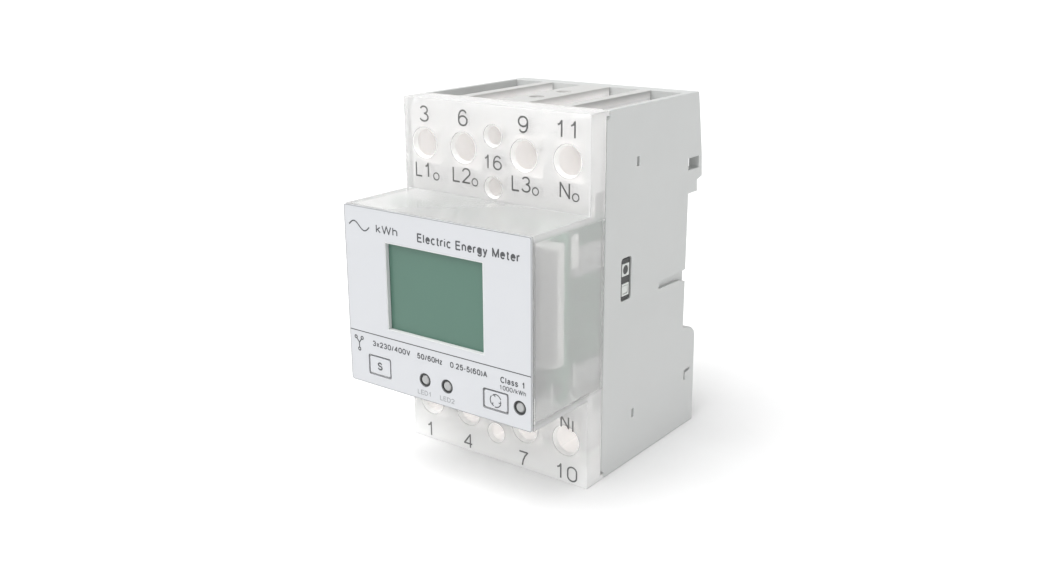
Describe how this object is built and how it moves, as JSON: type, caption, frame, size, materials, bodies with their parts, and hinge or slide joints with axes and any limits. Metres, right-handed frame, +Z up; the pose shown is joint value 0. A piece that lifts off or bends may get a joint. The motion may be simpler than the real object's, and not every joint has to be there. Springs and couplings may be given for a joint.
{
  "type": "smart electric meter",
  "caption": "Rail-mounted three-phase electric meter with a display, two keys, frosted terminal shoulders, rising-cage screw terminals and a sprung rail clip.",
  "frame": {"origin": "on the rail seat face, at the middle of the housing width and height", "axes": "+X to the right seen from the front, +Y towards the rail, +Z up; the display faces -Y"},
  "size_m": [0.054, 0.0726, 0.088],
  "materials": {
    "shell": "light grey moulded, fine matt grain",
    "cover": "frosted translucent white, satin",
    "label": "cool white printed film",
    "keys": "cool white satin caps",
    "display_pane": "clear acrylic pane",
    "display_glass": "grey-green liquid crystal glass",
    "white_plastic": "white moulded",
    "boards": "green solder mask",
    "dark_plastic": "dark grey moulded",
    "light_pipes": "smoke-grey clear lens",
    "eyes": "white case with a lens",
    "component_blue": "dark blue sleeve and resin",
    "straps": "copper strap",
    "contacts": "brass strip",
    "screws": "nickel-plated steel",
    "cages": "zinc-plated steel",
    "spring_steel": "spring wire"
  },
  "bodies": {
    "housing": {"aux_contact_inner_top": "contacts", "aux_contact_outer_bottom": "contacts", "aux_contact_outer_top": "contacts", "board_connector": "dark_plastic", "capacitor": "component_blue", "clip_spring": "spring_steel", "current_transformer_1": "component_blue", "current_transformer_2": "component_blue", "current_transformer_3": "component_blue", "front_cover": "cover", "front_label": "label", "ir_bezel": "dark_plastic", "ir_emitter": "eyes", "ir_receiver": "eyes", "lcd_backlight": "white_plastic", "lcd_frame": "white_plastic", "lcd_glass": "display_glass", "lcd_window": "display_pane", "led_1": "light_pipes", "led_2": "light_pipes", "led_pulse": "light_pipes", "main_pcb": "boards", "neutral_bar": "straps", "phase_bar_1": "straps", "phase_bar_2": "straps", "phase_bar_3": "straps", "power_pcb": "boards", "rear_shell": "shell", "supply_coil": "dark_plastic", "tact_switch_scroll": "dark_plastic", "tact_switch_select": "dark_plastic", "terminal_block_bottom": "shell", "terminal_block_top": "shell", "varistor": "component_blue"},
    "key_select": {"key_select": "keys"},
    "key_scroll": {"key_scroll": "keys"},
    "din_clip": {"din_clip": "white_plastic"},
    "screw_3": {"screw_3": "screws"},
    "cage_3": {"cage_3": "cages"},
    "screw_6": {"screw_6": "screws"},
    "cage_6": {"cage_6": "cages"},
    "screw_9": {"screw_9": "screws"},
    "cage_9": {"cage_9": "cages"},
    "screw_11": {"screw_11": "screws"},
    "cage_11": {"cage_11": "cages"},
    "screw_1": {"screw_1": "screws"},
    "cage_1": {"cage_1": "cages"},
    "screw_4": {"screw_4": "screws"},
    "cage_4": {"cage_4": "cages"},
    "screw_7": {"screw_7": "screws"},
    "cage_7": {"cage_7": "cages"},
    "screw_10": {"screw_10": "screws"},
    "cage_10": {"cage_10": "cages"},
    "aux_screw_outer_top": {"aux_screw_outer_top": "screws"},
    "aux_cage_outer_top": {"aux_cage_outer_top": "cages"},
    "aux_screw_inner_top": {"aux_screw_inner_top": "screws"},
    "aux_cage_inner_top": {"aux_cage_inner_top": "cages"},
    "aux_screw_outer_bottom": {"aux_screw_outer_bottom": "screws"},
    "aux_cage_outer_bottom": {"aux_cage_outer_bottom": "cages"}
  },
  "joints": [
    {"name": "screw_3_turn", "type": "hinge", "parent": "housing", "child": "screw_3", "pos_m": [-0.0208, -0.034, 0.0332], "axis": [0, 1, 0], "range_deg": [0, 2520]},
    {"name": "cage_3_rise", "type": "slide", "parent": "housing", "child": "cage_3", "axis": [0, -1, 0], "range_m": [0, 0.0055]},
    {"name": "screw_6_turn", "type": "hinge", "parent": "housing", "child": "screw_6", "pos_m": [-0.0088, -0.034, 0.0332], "axis": [0, 1, 0], "range_deg": [0, 2520]},
    {"name": "cage_6_rise", "type": "slide", "parent": "housing", "child": "cage_6", "axis": [0, -1, 0], "range_m": [0, 0.0055]},
    {"name": "screw_9_turn", "type": "hinge", "parent": "housing", "child": "screw_9", "pos_m": [0.0088, -0.034, 0.0332], "axis": [0, 1, 0], "range_deg": [0, 2520]},
    {"name": "cage_9_rise", "type": "slide", "parent": "housing", "child": "cage_9", "axis": [0, -1, 0], "range_m": [0, 0.0055]},
    {"name": "screw_11_turn", "type": "hinge", "parent": "housing", "child": "screw_11", "pos_m": [0.0208, -0.034, 0.0332], "axis": [0, 1, 0], "range_deg": [0, 2520]},
    {"name": "cage_11_rise", "type": "slide", "parent": "housing", "child": "cage_11", "axis": [0, -1, 0], "range_m": [0, 0.0055]},
    {"name": "screw_1_turn", "type": "hinge", "parent": "housing", "child": "screw_1", "pos_m": [-0.0208, -0.034, -0.0332], "axis": [0, 1, 0], "range_deg": [0, 2520]},
    {"name": "cage_1_rise", "type": "slide", "parent": "housing", "child": "cage_1", "axis": [0, -1, 0], "range_m": [0, 0.0055]},
    {"name": "screw_4_turn", "type": "hinge", "parent": "housing", "child": "screw_4", "pos_m": [-0.0088, -0.034, -0.0332], "axis": [0, 1, 0], "range_deg": [0, 2520]},
    {"name": "cage_4_rise", "type": "slide", "parent": "housing", "child": "cage_4", "axis": [0, -1, 0], "range_m": [0, 0.0055]},
    {"name": "screw_7_turn", "type": "hinge", "parent": "housing", "child": "screw_7", "pos_m": [0.0088, -0.034, -0.0332], "axis": [0, 1, 0], "range_deg": [0, 2520]},
    {"name": "cage_7_rise", "type": "slide", "parent": "housing", "child": "cage_7", "axis": [0, -1, 0], "range_m": [0, 0.0055]},
    {"name": "screw_10_turn", "type": "hinge", "parent": "housing", "child": "screw_10", "pos_m": [0.0208, -0.034, -0.0332], "axis": [0, 1, 0], "range_deg": [0, 2520]},
    {"name": "cage_10_rise", "type": "slide", "parent": "housing", "child": "cage_10", "axis": [0, -1, 0], "range_m": [0, 0.0055]},
    {"name": "aux_screw_outer_top_turn", "type": "hinge", "parent": "housing", "child": "aux_screw_outer_top", "pos_m": [0, -0.034, 0.0368], "axis": [0, 1, 0], "range_deg": [0, 2160]},
    {"name": "aux_cage_outer_top_rise", "type": "slide", "parent": "housing", "child": "aux_cage_outer_top", "axis": [0, -1, 0], "range_m": [0, 0.003]},
    {"name": "aux_screw_inner_top_turn", "type": "hinge", "parent": "housing", "child": "aux_screw_inner_top", "pos_m": [0, -0.034, 0.0248], "axis": [0, 1, 0], "range_deg": [0, 2160]},
    {"name": "aux_cage_inner_top_rise", "type": "slide", "parent": "housing", "child": "aux_cage_inner_top", "axis": [0, -1, 0], "range_m": [0, 0.003]},
    {"name": "aux_screw_outer_bottom_turn", "type": "hinge", "parent": "housing", "child": "aux_screw_outer_bottom", "pos_m": [0, -0.034, -0.0368], "axis": [0, 1, 0], "range_deg": [0, 2160]},
    {"name": "aux_cage_outer_bottom_rise", "type": "slide", "parent": "housing", "child": "aux_cage_outer_bottom", "axis": [0, -1, 0], "range_m": [0, 0.003]},
    {"name": "key_select_press", "type": "slide", "parent": "housing", "child": "key_select", "axis": [0, 1, 0], "range_m": [0, 0.0005], "stiffness_N_per_m": 2000, "springref_m": -0.0004},
    {"name": "key_scroll_press", "type": "slide", "parent": "housing", "child": "key_scroll", "axis": [0, 1, 0], "range_m": [0, 0.0005], "stiffness_N_per_m": 2000, "springref_m": -0.0004},
    {"name": "din_clip_pull", "type": "slide", "parent": "housing", "child": "din_clip", "axis": [0, 0, -1], "range_m": [0, 0.004], "stiffness_N_per_m": 1500, "springref_m": -0.003, "deforming": ["clip_spring"]}
  ],
  "couplings": [
    {"joint": "screw_3_turn", "follows": "cage_3_rise", "rad_per_m": 7850},
    {"joint": "screw_6_turn", "follows": "cage_6_rise", "rad_per_m": 7850},
    {"joint": "screw_9_turn", "follows": "cage_9_rise", "rad_per_m": 7850},
    {"joint": "screw_11_turn", "follows": "cage_11_rise", "rad_per_m": 7850},
    {"joint": "screw_1_turn", "follows": "cage_1_rise", "rad_per_m": 7850},
    {"joint": "screw_4_turn", "follows": "cage_4_rise", "rad_per_m": 7850},
    {"joint": "screw_7_turn", "follows": "cage_7_rise", "rad_per_m": 7850},
    {"joint": "screw_10_turn", "follows": "cage_10_rise", "rad_per_m": 7850},
    {"joint": "aux_screw_outer_top_turn", "follows": "aux_cage_outer_top_rise", "rad_per_m": 12560},
    {"joint": "aux_screw_inner_top_turn", "follows": "aux_cage_inner_top_rise", "rad_per_m": 12560},
    {"joint": "aux_screw_outer_bottom_turn", "follows": "aux_cage_outer_bottom_rise", "rad_per_m": 12560}
  ]
}
